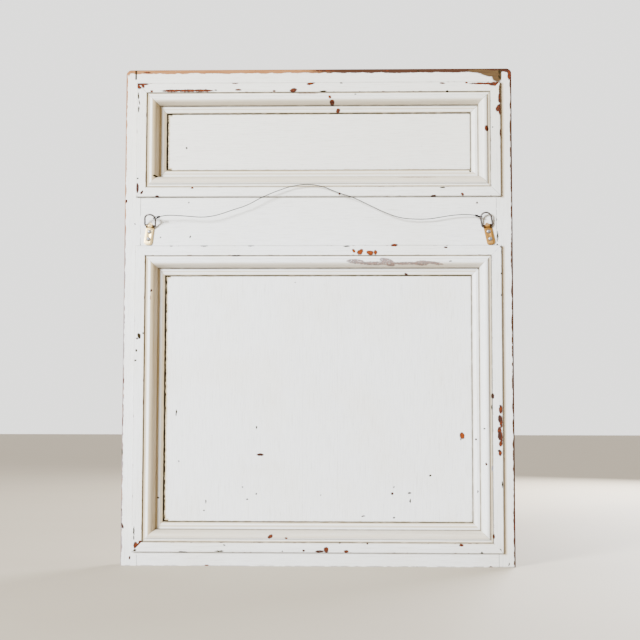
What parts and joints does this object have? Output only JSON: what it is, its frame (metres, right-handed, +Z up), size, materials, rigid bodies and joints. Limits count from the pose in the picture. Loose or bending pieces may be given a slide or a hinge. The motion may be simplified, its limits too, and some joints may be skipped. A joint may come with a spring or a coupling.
{
  "type": "trumeau mirror",
  "caption": "Panelled wooden trumeau mirror: small panel over a mirror plate, moulded on both faces, with strap hangers, D-rings and a picture wire on its panelled back.",
  "frame": {"origin": "middle of the foot of the frame, at half of the frame's thickness", "axes": "+Z up, the mirror faces -Y and the wall side with the hangers faces +Y, X across the width"},
  "size_m": [0.66, 0.0651, 0.843],
  "materials": {
    "frame_paint": "old off-white paint over pine, chipped to bare wood at the arrises",
    "moulding_paint": "old off-white paint over pine, chipped at the mitres and arrises",
    "bead_paint": "old off-white paint over pine",
    "panel_paint": "old cool off-white paint over boards, faint joints and scratches",
    "mirror_plate": "silvered float glass",
    "backing_card": "brown card",
    "strap_brass": "brass-coloured plate, a little dull",
    "screw_zinc": "bright zinc",
    "ring_steel": "dull grey wire",
    "wire_steel": "stranded steel wire"
  },
  "bodies": {
    "frame": {"stile_left": "frame_paint", "stile_right": "frame_paint", "top_rail": "frame_paint", "middle_rail": "frame_paint", "bottom_rail": "frame_paint", "upper_moulding_top": "moulding_paint", "upper_moulding_bottom": "moulding_paint", "upper_moulding_left": "moulding_paint", "upper_moulding_right": "moulding_paint", "lower_moulding_top": "moulding_paint", "lower_moulding_bottom": "moulding_paint", "lower_moulding_left": "moulding_paint", "lower_moulding_right": "moulding_paint", "upper_bead_top": "bead_paint", "upper_bead_bottom": "bead_paint", "upper_bead_left": "bead_paint", "upper_bead_right": "bead_paint", "lower_bead_top": "bead_paint", "lower_bead_bottom": "bead_paint", "lower_bead_left": "bead_paint", "lower_bead_right": "bead_paint", "upper_panel": "panel_paint", "lower_panel_board_left": "panel_paint", "lower_panel_board_centre": "panel_paint", "lower_panel_board_right": "panel_paint", "mirror_glass": "mirror_plate", "mirror_backing": "backing_card", "hanger_strap_left": "strap_brass", "hanger_strap_right": "strap_brass", "strap_screws": "screw_zinc", "picture_wire": "wire_steel"},
    "ring_left": {"d_ring_left": "ring_steel", "wire_tie_left": "wire_steel"},
    "ring_right": {"d_ring_right": "ring_steel", "wire_tie_right": "wire_steel"}
  },
  "joints": [
    {"name": "ring_left_swivel", "type": "hinge", "parent": "frame", "child": "ring_left", "pos_m": [-0.287, 0.02185, 0.571], "axis": [-0.9781, 0, 0.2079], "range_deg": [-11, 150]},
    {"name": "ring_right_swivel", "type": "hinge", "parent": "frame", "child": "ring_right", "pos_m": [0.2855, 0.02185, 0.5718], "axis": [-0.9925, 0, -0.1219], "range_deg": [-37, 124]}
  ]
}
